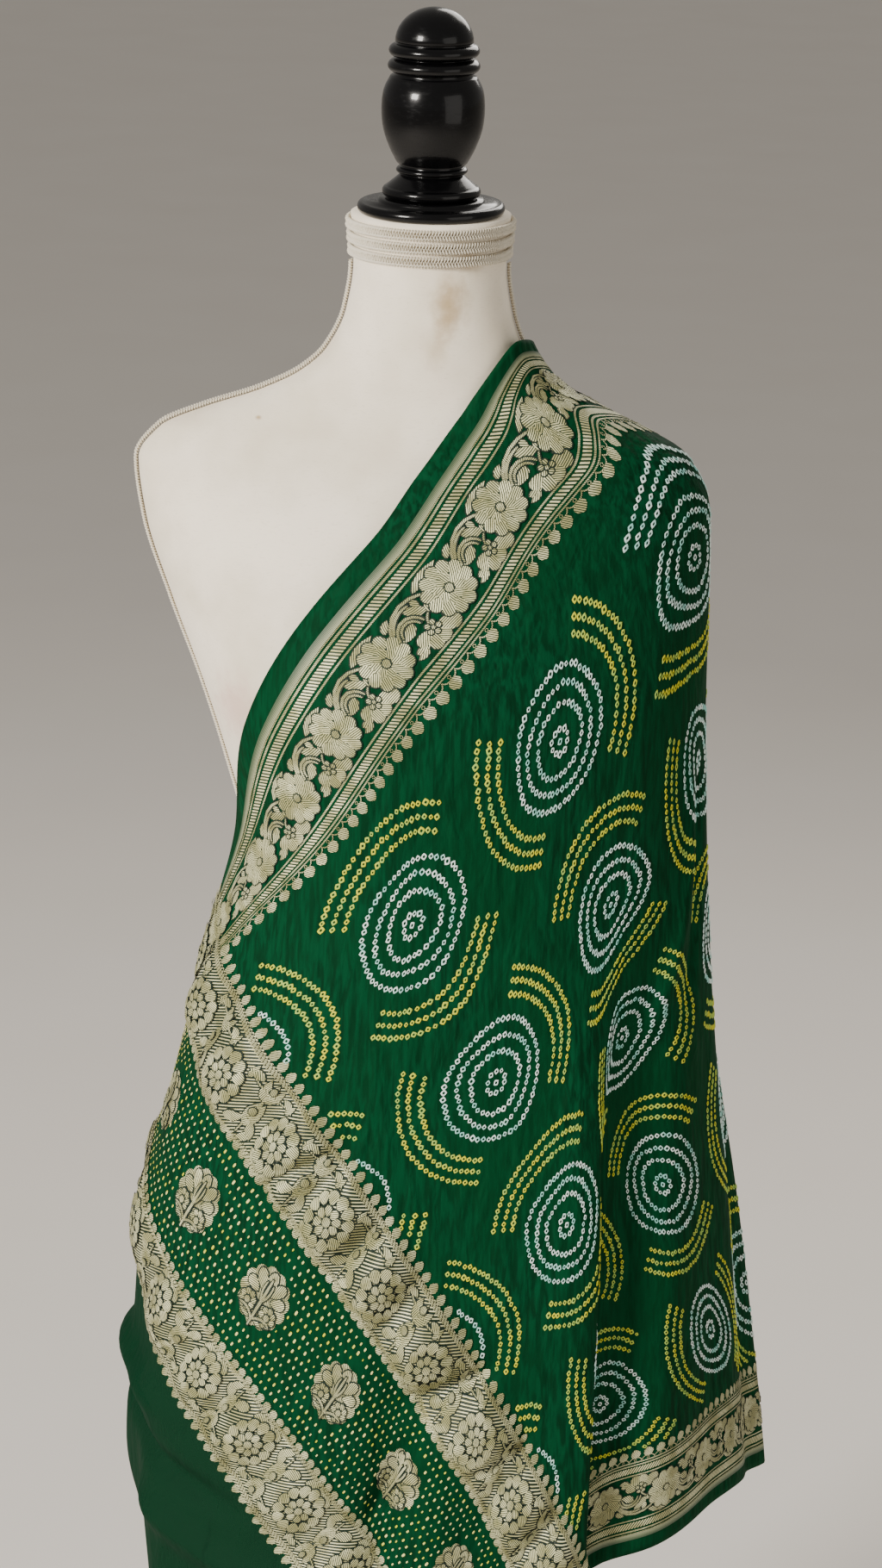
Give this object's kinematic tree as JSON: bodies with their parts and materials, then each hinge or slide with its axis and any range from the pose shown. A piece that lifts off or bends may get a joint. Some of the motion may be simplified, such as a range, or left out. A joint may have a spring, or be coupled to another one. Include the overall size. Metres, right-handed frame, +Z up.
{
  "type": "bandhani cloth draped on a dress form",
  "caption": "Green tie-dyed bandhani cloth with woven gold borders, draped over one shoulder of a plain dress form on a stand, its end hanging across the front.",
  "frame": {"origin": "middle of the underside of the stand's base, on the floor", "axes": "+Z up; the form's front faces -Y; the shoulder that carries the cloth is at +X"},
  "size_m": [0.4962, 0.3831, 1.65],
  "materials": {
    "green_georgette": "thin crinkled georgette with gold thread borders and tied dots",
    "linen": "fine off-white linen, stretched",
    "braid": "off-white braid",
    "black_lacquer": "turned, black gloss lacquer",
    "black_paint": "black satin paint",
    "zari_thread": "flat metal-wrapped thread, pale antique gold, satin",
    "tied_dots": "small undyed rings left by the ties, white to pale teal and yellow"
  },
  "bodies": {
    "root": {"cloth": "green_georgette", "torso": "linen", "neck_braid": "braid", "side_braid_left": "braid", "side_braid_right": "braid", "neck_disc": "black_lacquer", "finial": "black_lacquer", "pole": "black_paint", "base": "black_paint"}
  },
  "joints": []
}
